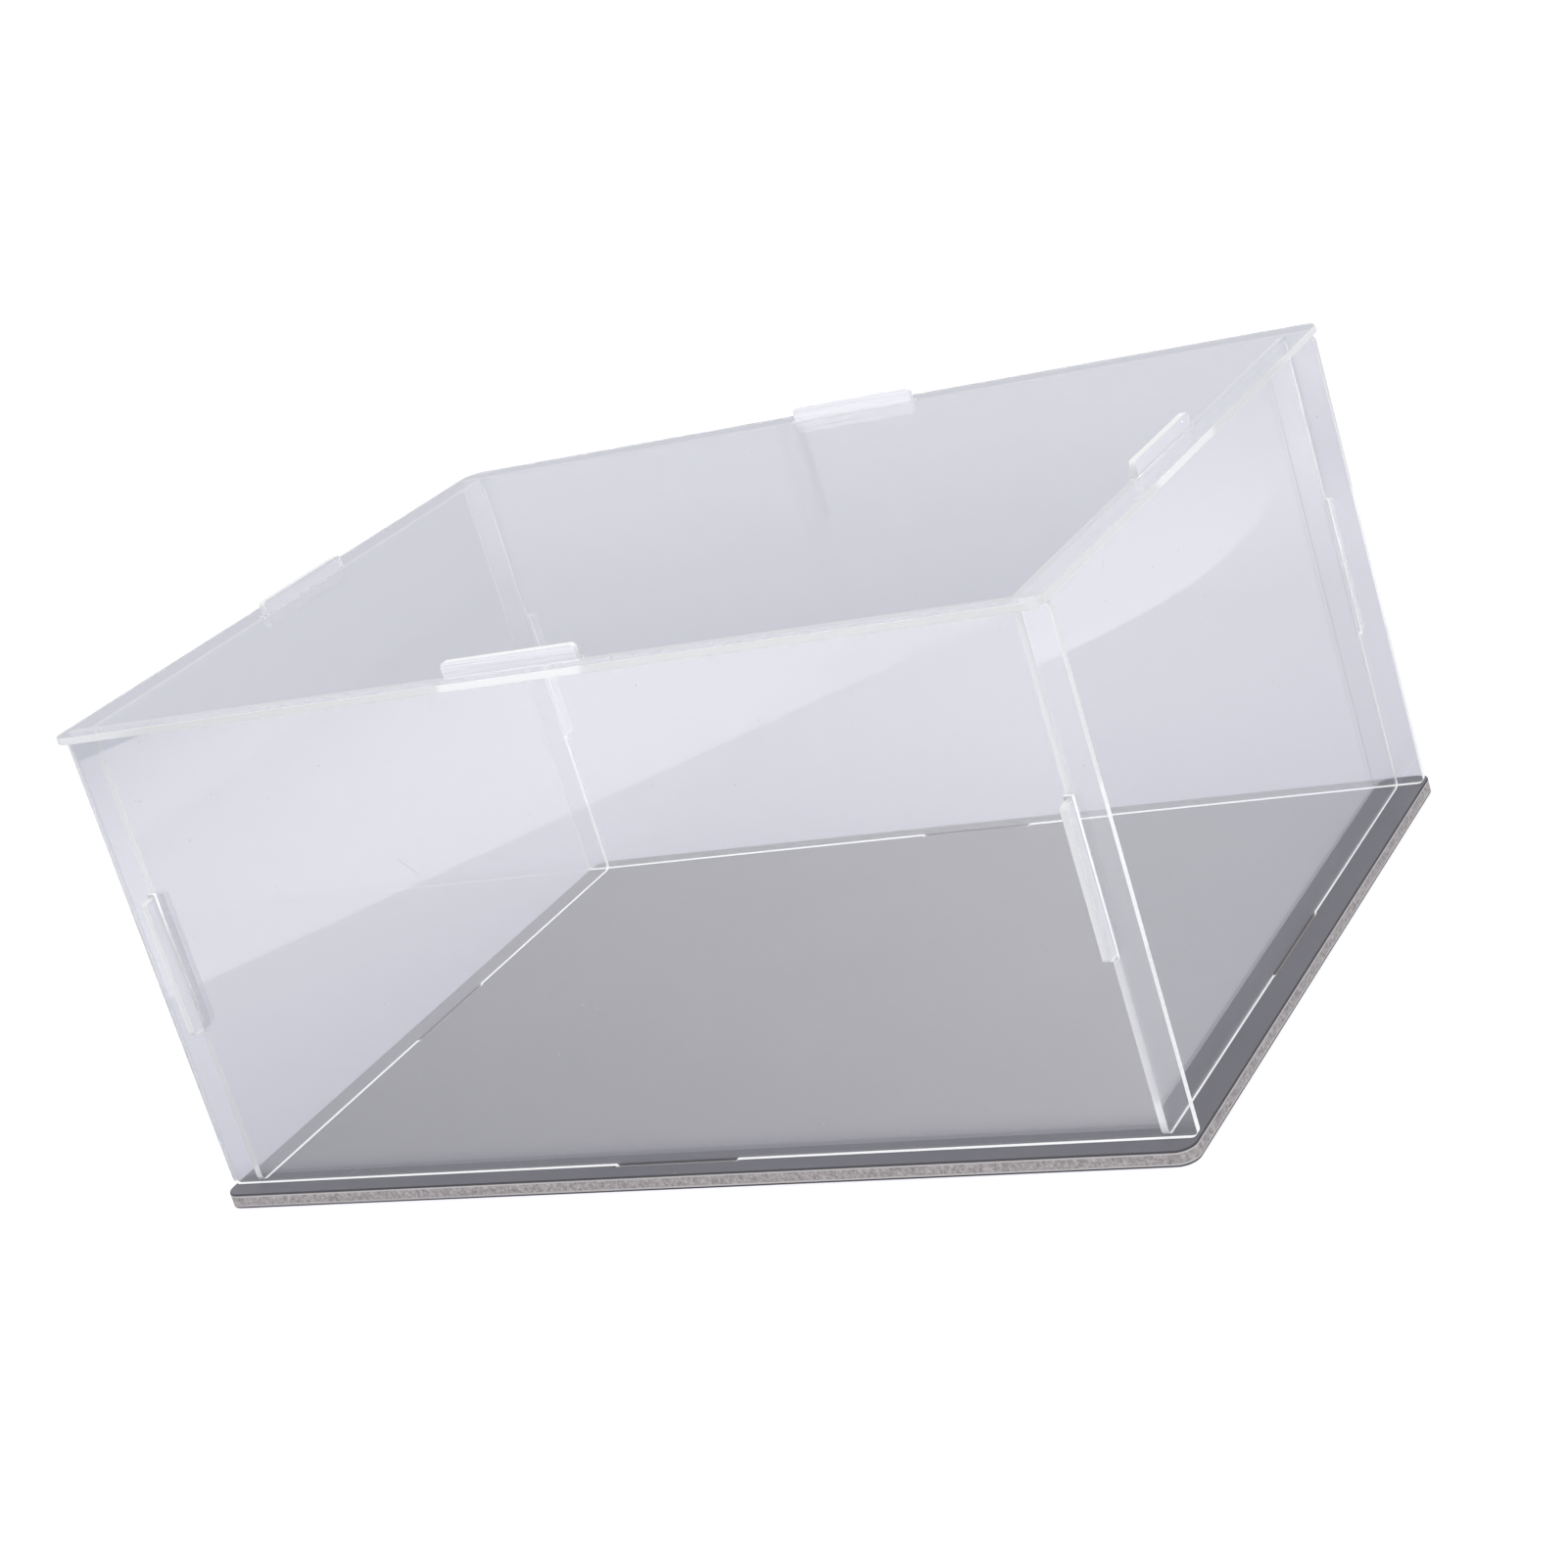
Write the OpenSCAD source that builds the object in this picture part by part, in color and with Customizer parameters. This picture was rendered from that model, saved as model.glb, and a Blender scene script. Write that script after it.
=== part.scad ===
// Flat-pack acrylic display case: a dark board base, four clear walls that lock
// together with tabs and slots, and a clear top that drops over the wall tabs.
// Lengths are millimetres. X runs along the long front, Y to the back, Z up.
// The origin is under the middle of the base.

/* [Inside space] */
// Inside length between the two side panels
inner_length = 280; // [160:5:480]
// Inside depth between the front and the back panel
inner_depth = 208; // [120:4:400]
// Inside height between the base and the top panel
inner_height = 140; // [90:5:400]

/* [Sheets] */
// Thickness of the clear acrylic sheet
sheet_t = 2; // [1.5:0.5:4]
// Thickness of the base board
base_t = 4.5; // [3:0.5:8]

/* [Margins] */
// How far the front and back panels run past the outer faces of the side panels
end_margin = 8; // [5:0.5:20]
// How far the base and the top run past the outer faces of the front and back panels
rim_margin = 6; // [4:0.5:20]

/* [Corners] */
// Corner radius of the base board and of the top panel
plate_corner_r = 5; // [1:0.5:12]
// Corner radius of the four wall panels
wall_corner_r = 2; // [0.5:0.5:4]

/* [Tabs] */
// Width of the tabs that lock the walls to the top and to each other
lock_tab_w = 41; // [20:1:60]
// Height that a lock tab stands proud of the panel that it passes through
lock_tab_proud = 4; // [1:0.5:8]
// Width of the tabs that stand in the base
foot_tab_w = 37; // [20:1:60]
// Distance that the foot tabs stop short of the underside of the base
foot_tab_short = 1; // [0.5:0.25:2]
// Radius of the corners at the tip of a tab
tab_tip_r = 1.5; // [0.5:0.25:2]
// Radius of the fillets at the root of a tab
tab_root_r = 0.8; // [0.2:0.1:1]

/* [Fits] */
// Gap between a tab and each end of its slot
slot_end_gap = 1; // [1:0.1:2]
// Gap between a tab and each long side of its slot
slot_side_gap = 0.15; // [0.05:0.05:0.4]

/* [Hidden] */
$fn = 48;

// Overrun of every cut past the faces that it opens
cut_over = 1;

// Outlines of the panels
side_outer_x = inner_length / 2 + sheet_t;
front_outer_y = inner_depth / 2 + sheet_t;
front_length = (side_outer_x + end_margin) * 2;
plate_depth = (front_outer_y + rim_margin) * 2;

// Levels of the assembled case
wall_z = base_t;
top_z = wall_z + inner_height;

// Reach of the tabs from the edge that carries them
lock_tab_reach = sheet_t + lock_tab_proud;
foot_tab_reach = base_t - foot_tab_short;

// Slots: as wide as the sheet and as long as the tab, with the gaps added
slot_w = sheet_t + slot_side_gap * 2;
lock_slot_len = lock_tab_w + slot_end_gap * 2;
foot_slot_len = foot_tab_w + slot_end_gap * 2;

// Colours of the two materials
board_colour = "DimGray";
acrylic_colour = [0.82, 0.84, 0.88, 0.45];

// Rectangle centred on the origin with round corners
module rounded_rectangle(size_x, size_y, corner_r) {
    square([size_x, size_y - corner_r * 2], center = true);
    square([size_x - corner_r * 2, size_y], center = true);
    for (side_x = [-1, 1])
        for (side_y = [-1, 1])
            translate([side_x * (size_x / 2 - corner_r), side_y * (size_y / 2 - corner_r)])
                circle(r = corner_r);
}

// Tab whose root lies on the X axis and which points along +Y
module tab(tab_w, reach) {
    translate([-tab_w / 2, -tab_root_r])
        square([tab_w, tab_root_r + reach - tab_tip_r]);
    translate([-tab_w / 2 + tab_tip_r, 0])
        square([tab_w - tab_tip_r * 2, reach]);
    for (side = [-1, 1]) {
        translate([side * (tab_w / 2 - tab_tip_r), reach - tab_tip_r])
            circle(r = tab_tip_r);
        mirror([side < 0 ? 1 : 0, 0])
            translate([tab_w / 2, 0])
                root_fillet();
    }
}

// Fillet in the corner between a panel's edge and the side of its tab
module root_fillet() {
    difference() {
        translate([-tab_root_r, -tab_root_r])
            square(tab_root_r * 2);
        translate([tab_root_r, tab_root_r])
            circle(r = tab_root_r);
    }
}

// Outline of a wall with a lock tab on its top edge and a foot tab below
module wall_outline(wall_length) {
    rounded_rectangle(wall_length, inner_height, wall_corner_r);
    translate([0, inner_height / 2])
        tab(lock_tab_w, lock_tab_reach);
    mirror([0, 1])
        translate([0, inner_height / 2])
            tab(foot_tab_w, foot_tab_reach);
}

// Outline of the front and back panels: each end has a slot for a side panel's tab
module long_wall_outline() {
    difference() {
        wall_outline(front_length);
        for (side = [-1, 1])
            translate([side * (side_outer_x - sheet_t / 2), 0])
                square([slot_w, lock_slot_len], center = true);
    }
}

// Outline of the side panels: a lock tab on each upright edge
module side_wall_outline() {
    wall_outline(inner_depth);
    for (side = [-1, 1])
        rotate(side * 90)
            translate([0, inner_depth / 2])
                tab(lock_tab_w, lock_tab_reach);
}

// Plan of the four slots over the feet or under the lock tabs of the walls
module slot_plan(slot_len) {
    for (side = [-1, 1]) {
        translate([0, side * (front_outer_y - sheet_t / 2)])
            square([slot_len, slot_w], center = true);
        translate([side * (side_outer_x - sheet_t / 2), 0])
            square([slot_w, slot_len], center = true);
    }
}

// Plate with the outline of the case and a slot beside each edge
module slotted_plate(thickness, slot_len) {
    difference() {
        linear_extrude(thickness)
            rounded_rectangle(front_length, plate_depth, plate_corner_r);
        translate([0, 0, -cut_over])
            linear_extrude(thickness + cut_over * 2)
                slot_plan(slot_len);
    }
}

// Long wall standing on the base, with its outer face on the plane Y = outer_y
module long_wall(outer_y) {
    inward_y = outer_y < 0 ? sheet_t : 0;
    translate([0, outer_y + inward_y, wall_z + inner_height / 2])
        rotate([90, 0, 0])
            linear_extrude(sheet_t)
                long_wall_outline();
}

// Side wall standing on the base between the long walls, with its left face on X = left_x
module side_wall(left_x) {
    translate([left_x, 0, wall_z + inner_height / 2])
        rotate([90, 0, 90])
            linear_extrude(sheet_t)
                side_wall_outline();
}

module base_plate() {
    color(board_colour)
        slotted_plate(base_t, foot_slot_len);
}

module front_panel() {
    color(acrylic_colour)
        long_wall(-front_outer_y);
}

module back_panel() {
    color(acrylic_colour)
        long_wall(front_outer_y);
}

module left_panel() {
    color(acrylic_colour)
        side_wall(-side_outer_x);
}

module right_panel() {
    color(acrylic_colour)
        side_wall(side_outer_x - sheet_t);
}

module top_panel() {
    color(acrylic_colour)
        translate([0, 0, top_z])
            slotted_plate(sheet_t, lock_slot_len);
}

base_plate();
front_panel();
back_panel();
left_panel();
right_panel();
top_panel();
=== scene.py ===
"""Clear flat-pack display case on a dark board base, finished for a studio picture.

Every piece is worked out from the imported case: its sheets take their place and their
thickness from the boxes of the nodes, and their tabs, slots and corners from the sizes
in the sidebar. Lengths are metres unless a name ends in _mm.
"""

import math
from collections import namedtuple

import bpy
import numpy as np
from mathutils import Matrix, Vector
from mathutils.geometry import tessellate_polygon


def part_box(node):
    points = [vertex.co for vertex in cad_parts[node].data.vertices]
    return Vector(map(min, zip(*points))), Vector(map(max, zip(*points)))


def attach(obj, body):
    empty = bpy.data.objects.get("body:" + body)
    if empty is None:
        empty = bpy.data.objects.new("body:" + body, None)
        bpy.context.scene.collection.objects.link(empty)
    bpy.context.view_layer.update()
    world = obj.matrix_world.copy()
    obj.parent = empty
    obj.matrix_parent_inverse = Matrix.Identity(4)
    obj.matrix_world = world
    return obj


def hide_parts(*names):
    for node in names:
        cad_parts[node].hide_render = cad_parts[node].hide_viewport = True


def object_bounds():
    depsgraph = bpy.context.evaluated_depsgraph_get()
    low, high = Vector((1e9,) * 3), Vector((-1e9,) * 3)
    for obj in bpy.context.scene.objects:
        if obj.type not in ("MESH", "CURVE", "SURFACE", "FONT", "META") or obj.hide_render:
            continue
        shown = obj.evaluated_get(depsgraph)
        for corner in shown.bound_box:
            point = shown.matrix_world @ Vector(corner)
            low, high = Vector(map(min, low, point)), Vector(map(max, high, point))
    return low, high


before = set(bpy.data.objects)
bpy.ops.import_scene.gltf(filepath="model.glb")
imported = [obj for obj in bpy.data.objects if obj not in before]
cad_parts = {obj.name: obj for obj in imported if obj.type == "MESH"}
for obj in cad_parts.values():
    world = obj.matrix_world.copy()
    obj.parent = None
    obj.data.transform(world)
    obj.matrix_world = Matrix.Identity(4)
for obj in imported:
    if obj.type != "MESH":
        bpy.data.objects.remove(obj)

bl_info = {
    "name": "Clear display case",
    "version": (1, 0, 0),
    "blender": (4, 5, 0),
    "location": "View3D > Sidebar > Display case",
    "description": "Builds a tabbed acrylic display case on its board base, with studio and camera",
    "category": "Object",
}

MM = 0.001

# The shown box before anything is replaced: the size of the solid model
CASE_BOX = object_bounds()

# White, the tones of dust, the colour of the painted glow in a tab's haze, and the tints of light that
# passes a sheet or its cut edge
WHITE = "#FFFFFF"
DUST = "#F4F4F6"
PAINTED_GLOW_COLOUR = "#FCFCFC"
DUST_ON_BOARD = "#D8D8DC"
SHADE_OF_SHEET = "#F6F6F8"
SHADE_OF_EDGE = "#E6E6E8"

# A hairline scratch follows this level of a slow noise, wherever a noise that is so many
# times quicker lies over the cut
SCRATCH_LEVEL = 0.56
SCRATCH_QUICK = 7.3
SCRATCH_CUT = 0.66

# Streaks of wear are a noise drawn out along x, and take this range of it
STREAK_STRETCH = (0.02, 1.0, 1.0)
STREAK_RANGE = (0.35, 0.65)

# The foam's tones take this range of a noise, and its lines this softness in millimetres
FOAM_RANGE = (0.36, 0.64)
FOAM_LINE_SOFT_MM = 0.06


# Colours and shader nodes


def linear_colour(code):
    """Linear colour of an sRGB hex code such as #A0A1A2."""
    srgb = np.array([int(code[i : i + 2], 16) for i in (1, 3, 5)]) / 255
    linear = np.where(srgb <= 0.04045, srgb / 12.92, ((srgb + 0.055) / 1.055) ** 2.4)
    return (*linear.tolist(), 1.0)


def add_node(tree, kind, sockets=(), **settings):
    """Adds a shader node with its settings and links.

    Its sockets are given in their order, or by name. Each takes a value, the output that
    feeds it, or a node, whose first output in use feeds it.
    """
    node = tree.nodes.new("ShaderNode" + kind)
    for name, value in settings.items():
        setattr(node, name, value)
    if not isinstance(sockets, dict):
        sockets = dict(enumerate(sockets))
    for key, value in sockets.items():
        if isinstance(value, bpy.types.Node):
            value = next(output for output in value.outputs if output.enabled)
        if isinstance(value, bpy.types.NodeSocket):
            tree.links.new(value, node.inputs[key])
        else:
            node.inputs[key].default_value = value
    return node


def past_edge(tree, value, at, soft, before, beyond, data_type="FLOAT"):
    """One number or colour before an edge and another beyond it, blended over twice the width soft."""
    past = add_node(
        tree,
        "MapRange",
        {"Value": value, "From Min": at - soft, "From Max": at + soft},
        interpolation_type="SMOOTHSTEP",
    )
    return add_node(tree, "Mix", {"Factor": past, "A": before, "B": beyond}, data_type=data_type)


def new_material(name):
    """An empty material and its node tree. No surface here is bright enough to be sampled as a lamp."""
    material = bpy.data.materials.new(name)
    material.cycles.emission_sampling = "NONE"
    material.use_nodes = True
    material.node_tree.nodes.clear()
    return material, material.node_tree


def object_millimetres(tree):
    """Object coordinates in millimetres, so that a scale of 1 is one pattern a millimetre."""
    place = add_node(tree, "TexCoord").outputs["Object"]
    return add_node(tree, "VectorMath", {0: place, "Scale": 1 / MM}, operation="SCALE")


def dust_and_scratches(tree, place, look):
    """Round specks, one in each cell of their spacing, of which a share is kept, and short hairlines.

    The hairlines are the level lines of a slow noise, cut into pieces by a quicker one.
    """
    cells = add_node(
        tree,
        "TexVoronoi",
        {"Vector": place, "Scale": 1 / look.dust_spacing_mm, "Randomness": 1.0},
        voronoi_dimensions="3D",
    )
    radius = look.dust_speck_mm / look.dust_spacing_mm
    near = add_node(
        tree,
        "MapRange",
        {"Value": cells, "From Min": radius / 2, "From Max": radius, "To Min": 1.0, "To Max": 0.0},
    )
    kept = add_node(tree, "Math", (cells.outputs["Color"], look.dust_kept), operation="LESS_THAN")
    specks = add_node(tree, "Math", (near, kept), operation="MULTIPLY")
    slow, quick = (
        add_node(
            tree, "TexNoise", {"Vector": place, "Scale": speed / look.scratch_spacing_mm, "Detail": 0.0}
        )
        for speed in (1, SCRATCH_QUICK)
    )
    level = add_node(tree, "Math", (slow, SCRATCH_LEVEL), operation="SUBTRACT")
    distance = add_node(tree, "Math", (level,), operation="ABSOLUTE")
    line = add_node(tree, "Math", (distance, look.scratch_width), operation="LESS_THAN")
    piece = add_node(tree, "Math", (quick, SCRATCH_CUT), operation="GREATER_THAN")
    hairs = add_node(tree, "Math", (line, piece), operation="MULTIPLY")
    faint = add_node(tree, "Math", (hairs, look.scratch_share), operation="MULTIPLY")
    return add_node(tree, "Math", (specks, faint), operation="MAXIMUM")


def let_light_through(tree, surface, tint):
    """Lets lamps and scattered light straight through a sheet, so that what is inside is lit as outside."""
    through = add_node(tree, "BsdfTransparent", {"Color": linear_colour(tint)})
    path = add_node(tree, "LightPath")
    rays = path.outputs["Is Shadow Ray"], path.outputs["Is Diffuse Ray"]
    unbent = add_node(tree, "Math", rays, operation="MAXIMUM")
    both = add_node(tree, "MixShader", (unbent, surface, through))
    add_node(tree, "OutputMaterial", {"Surface": both})


def cast_acrylic(look):
    """Cast acrylic sheet, polished as it leaves the glass mould: clear, cool and faintly dusty."""
    return clear_sheet("cast_acrylic_sheet_polished", look, look.haze, 0.0)


def rubbed_acrylic_painted_glow(look):
    """Cast acrylic tab, rubbed dull where it is pushed through its slot, with a painted glow in its dulled
    faces.
    """
    return clear_sheet("cast_acrylic_tab_rubbed_painted_glow", look, look.tab_rub, look.tab_painted_glow)


def worn_acrylic_painted_glow(look):
    """Cast acrylic tab of the front wall, worn milky, in streaks along its width, with a painted glow in
    its faces.
    """
    name = "cast_acrylic_tab_worn_painted_glow"
    return clear_sheet(name, look, look.tab_wear, look.front_tab_painted_glow, look.tab_streak)


def worn_acrylic_back_brighter_painted_glow(look):
    """Cast acrylic tab of the back wall, worn as the front one, with a stronger painted glow."""
    name = "cast_acrylic_tab_worn_back_brighter_painted_glow"
    return clear_sheet(name, look, look.tab_wear, look.back_tab_painted_glow, look.tab_streak)


def clear_sheet(name, look, haze, glow, streak=0.0):
    """Clear acrylic under specks, hairlines and a haze, which scatters light and may carry a painted glow.

    The haze is even, or varies by streak in streaks along x.
    """
    material, tree = new_material(name)
    place = object_millimetres(tree)
    if streak:
        drawn_out = add_node(tree, "VectorMath", (place, STREAK_STRETCH), operation="MULTIPLY")
        bands = add_node(
            tree, "TexNoise", {"Vector": drawn_out, "Scale": 1 / look.tab_streak_mm, "Detail": 1.0}
        )
        haze = add_node(
            tree,
            "MapRange",
            {
                "Value": bands,
                "From Min": STREAK_RANGE[0],
                "From Max": STREAK_RANGE[1],
                "To Min": haze - streak,
                "To Max": haze + streak,
            },
        )
    clear = add_node(
        tree,
        "BsdfPrincipled",
        {
            "Base Color": linear_colour(look.tint),
            "Roughness": 0.0,
            "IOR": look.ior,
            "Transmission Weight": 1.0,
            "Specular IOR Level": look.gloss,
        },
    )
    # The haze's emission is a painted glow, not a lamp
    dust = add_node(
        tree,
        "BsdfPrincipled",
        {
            "Base Color": linear_colour(DUST),
            "Roughness": 0.6,
            "Emission Color": linear_colour(PAINTED_GLOW_COLOUR),
            "Emission Strength": glow,
        },
    )
    marks = dust_and_scratches(tree, place, look)
    dull = add_node(tree, "Math", (marks, look.dust_share, haze), operation="MULTIPLY_ADD")
    dusty = add_node(tree, "MixShader", (dull, clear, dust))
    let_light_through(tree, dusty, SHADE_OF_SHEET)
    return material


def cut_acrylic(look):
    """Laser-cut acrylic edge, frosted, with a painted glow that stands in for light piped through the
    sheet; frost and painted glow both grow towards the base, which paints the low edges brighter.
    """
    frosts = (look.edge_frost, look.edge_frost_top)
    glows = (look.edge_painted_glow, look.edge_painted_glow_top)
    return sheet_edge("laser_cut_acrylic_edge", look, frosts, glows)


def dimmed_cut_acrylic(look):
    """Dimmer copy of the laser-cut acrylic edge, less frosted and with a weaker painted glow: painted shade
    on the cut edges that take it.
    """
    frosts = (look.dimmed_frost, look.dimmed_frost)
    glows = (look.dimmed_painted_glow, look.dimmed_painted_glow)
    return sheet_edge("laser_cut_acrylic_edge_dimmed", look, frosts, glows)


def sheet_edge(name, look, frosts, glows):
    """Cut edge with a frosted share and a painted glow, each given at the base and at the top."""
    material, tree = new_material(name)
    place = object_millimetres(tree)
    height = add_node(tree, "SeparateXYZ", {"Vector": place}).outputs["Z"]
    full_height = CASE_BOX[1][2] / MM
    # Frost and painted glow run from their values at the base to those at the top, painting the low edges
    # brighter
    frost, glow = (
        low
        if low == high
        else add_node(
            tree,
            "MapRange",
            {"Value": height, "From Max": full_height, "To Min": low, "To Max": high},
        )
        for low, high in (frosts, glows)
    )
    # The cutting marks are drawn coarser than real, half a millimetre apart
    grain = add_node(tree, "TexNoise", {"Vector": place, "Scale": 2.0, "Detail": 2.0, "Roughness": 0.6})
    depth = look.edge_grain_mm * MM
    bump = add_node(tree, "Bump", {"Height": grain, "Strength": 0.15, "Distance": depth})
    clear = add_node(
        tree,
        "BsdfPrincipled",
        {
            "Base Color": linear_colour(WHITE),
            "Roughness": 0.12,
            "IOR": look.ior,
            "Transmission Weight": 1.0,
            "Normal": bump,
        },
    )
    # The white share's emission is a painted glow, not a lamp
    white = add_node(
        tree,
        "BsdfPrincipled",
        {
            "Base Color": linear_colour(look.edge_colour),
            "Roughness": 0.35,
            "Emission Color": linear_colour(look.edge_colour),
            "Emission Strength": glow,
            "Normal": bump,
        },
    )
    frosted = add_node(tree, "MixShader", (frost, clear, white))
    let_light_through(tree, frosted, SHADE_OF_EDGE)
    return material


def board_skin(look):
    """Foamed plastic board, the dense calendered skin: dark, satin, with a fine even grain."""
    material, tree = new_material("foamed_board_satin_skin")
    place = object_millimetres(tree)
    grain = add_node(
        tree, "TexNoise", {"Vector": place, "Scale": 1 / look.skin_grain_mm, "Detail": 3.0}
    )
    bump = add_node(tree, "Bump", {"Height": grain, "Strength": 0.1, "Distance": 0.02 * MM})
    cloud = add_node(
        tree, "TexNoise", {"Vector": place, "Scale": 1 / look.skin_cloud_mm, "Detail": 2.0}
    )
    tones = linear_colour(look.skin_dark), linear_colour(look.skin_light)
    clouded = add_node(tree, "Mix", {"Factor": cloud, "A": tones[0], "B": tones[1]}, data_type="RGBA")
    marks = dust_and_scratches(tree, place, look)
    covered = add_node(tree, "Math", (marks, look.dust_share), operation="MULTIPLY")
    dust = linear_colour(DUST_ON_BOARD)
    dusty = add_node(tree, "Mix", {"Factor": covered, "A": clouded, "B": dust}, data_type="RGBA")
    satin = add_node(
        tree,
        "BsdfPrincipled",
        {"Base Color": dusty, "Roughness": look.skin_roughness, "IOR": 1.5, "Normal": bump},
    )
    add_node(tree, "OutputMaterial", {"Surface": satin})
    return material


def board_core(look):
    """Foamed plastic board, the sawn edge: paler than the skin, with the open cells of the foam."""
    material, tree = new_material("foamed_board_sawn_edge")
    place = object_millimetres(tree)
    cells = add_node(
        tree,
        "TexNoise",
        {"Vector": place, "Scale": 1 / look.core_grain_mm, "Detail": 4.0, "Roughness": 0.7},
    )
    paleness = add_node(
        tree, "MapRange", {"Value": cells, "From Min": FOAM_RANGE[0], "From Max": FOAM_RANGE[1]}
    )
    tones = linear_colour(look.core_dark), linear_colour(look.core_light)
    colour = add_node(tree, "Mix", {"Factor": paleness, "A": tones[0], "B": tones[1]}, data_type="RGBA")
    lo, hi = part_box("base_plate")
    half = (hi.z - lo.z) / 2 / MM
    height = add_node(tree, "SeparateXYZ", {"Vector": place}).outputs["Z"]
    above = add_node(tree, "Math", (height, (lo.z + hi.z) / 2 / MM), operation="SUBTRACT")
    off_middle = add_node(tree, "Math", (above,), operation="ABSOLUTE")
    # Beside each face a paler line, a painted highlight, and nearer the face a darker line
    lines = ((look.core_highlight_mm, look.core_painted_highlight), (look.core_rim_mm, look.core_rim))
    for below_face, code in lines:
        edge = half - below_face
        line = linear_colour(code)
        colour = past_edge(tree, off_middle, edge, FOAM_LINE_SOFT_MM, colour, line, "RGBA")
    bump = add_node(tree, "Bump", {"Height": cells, "Strength": 0.5, "Distance": 0.1 * MM})
    foam = add_node(tree, "BsdfPrincipled", {"Base Color": colour, "Roughness": 0.8, "Normal": bump})
    add_node(tree, "OutputMaterial", {"Surface": foam})
    return material


def get_material(name, make, look):
    """The material of that name, made once."""
    return bpy.data.materials.get(name) or make(look)


# Outlines and sheets

# Material slots of a sheet; the last is the dimmer copy of the cut edge, painted shade
FACE, RIM, TAB_FACE, DIMMED_RIM = range(4)

# The rows that keep a cut flat lie this share of the arris, or of the thickness, from its ends
ARRIS_SHARE = 0.4
THICKNESS_SHARE = 0.1

# Triangles smaller than this, in square metres, are left out
SLIVER = 1e-16


def rounded_outline(corners, radii, steps):
    """Rounds every corner of a polygon: returns points and their outward normals, as arrays.

    At each corner the path turns by an angle; its arc starts a setback of
    radius * tan(angle / 2) before the corner, and the arc's points lie a radius from
    its centre, turned from 0 to the whole angle in equal steps.
    """
    corners = np.asarray(corners, float)
    radii = np.asarray(radii, float)[:, None]
    arriving = corners - np.roll(corners, 1, axis=0)
    arriving /= np.linalg.norm(arriving, axis=1, keepdims=True)
    leaving = np.roll(arriving, -1, axis=0)
    cross = arriving[:, 0] * leaving[:, 1] - arriving[:, 1] * leaving[:, 0]
    turn = np.arctan2(cross, (arriving * leaving).sum(axis=1))[:, None]
    start = corners - arriving * radii * np.tan(np.abs(turn) / 2)
    left = np.stack([-arriving[:, 1], arriving[:, 0]], axis=1)
    centre = start + left * radii * np.sign(turn)
    angle = turn * np.linspace(0, 1, steps)[None, :]
    along_x, along_y = arriving[:, :1], arriving[:, 1:]
    tangent_x = along_x * np.cos(angle) - along_y * np.sin(angle)
    tangent_y = along_x * np.sin(angle) + along_y * np.cos(angle)
    normals = np.stack([tangent_y, -tangent_x], axis=2)
    points = centre[:, None, :] + normals * (radii * np.sign(turn))[:, :, None]
    return points.reshape(-1, 2), normals.reshape(-1, 2)


def tabbed_edge(start, end, tab, sheet):
    """Corners and radii of one side of a sheet, from its first corner, with a tab in its middle."""
    start, end = np.array(start), np.array(end)
    corners, radii = [start], [sheet.wall_corner_r]
    if tab:
        width, reach = tab
        along = (end - start) / np.linalg.norm(end - start)
        out = np.array([along[1], -along[0]]) * reach
        first = (start + end) / 2 - along * width / 2
        last = (start + end) / 2 + along * width / 2
        corners += [first, first + out, last + out, last]
        radii += [sheet.tab_root_r, sheet.tab_tip_r, sheet.tab_tip_r, sheet.tab_root_r]
    return corners, radii


def wall_outline(u_range, v_range, tabs, sheet):
    """Outline of a wall, with the numbers of the first and last point of each tab.

    Tabs are given for the lower, right, upper and left side. A tab reaches from the last
    point of its first root fillet to the first point of its second.
    """
    (u0, u1), (v0, v1) = u_range, v_range
    around = [(u0, v0), (u1, v0), (u1, v1), (u0, v1)]
    corners, radii, spans = [], [], []
    for i, tab in enumerate(tabs):
        if tab:
            root = len(corners) + 1
            spans.append(((root + 1) * sheet.arc_steps - 1, (root + 3) * sheet.arc_steps))
        side = tabbed_edge(around[i], around[(i + 1) % 4], tab, sheet)
        corners += side[0]
        radii += side[1]
    return rounded_outline(corners, radii, sheet.arc_steps), spans


def rectangle_outline(u_range, v_range, radius, steps):
    """Rectangle with round corners, run anticlockwise."""
    (u0, u1), (v0, v1) = u_range, v_range
    corners = [(u0, v0), (u1, v0), (u1, v1), (u0, v1)]
    return rounded_outline(corners, [radius] * 4, steps)


def slot_outline(u, v, size_u, size_v, sheet):
    """Slot centred on u, v. It runs clockwise, so that its normals point into the opening."""
    u_range, v_range = (u - size_u / 2, u + size_u / 2), (v - size_v / 2, v + size_v / 2)
    points, normals = rectangle_outline(
        u_range, v_range, sheet.slot_corner_r, sheet.slot_arc_steps
    )
    return points[::-1], normals[::-1] * -1


def edge_profile(thickness, arris, steps):
    """Section of a sheet's edge: how far each point lies inside the outline, and its height.

    A quarter circle of radius arris, the straight cut, and the same quarter circle again.
    A row close to each end of the cut keeps its shading flat.
    """
    angle = np.linspace(0, math.pi / 2, steps)
    inset = arris * (1 - np.sin(angle))
    height = arris * (1 - np.cos(angle))
    near = min(arris * ARRIS_SHARE, thickness * THICKNESS_SHARE)
    inset = np.concatenate([inset, [0, 0], inset[::-1]])
    height = np.concatenate(
        [height, [arris + near, thickness - arris - near], thickness - height[::-1]]
    )
    return inset, height


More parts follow.
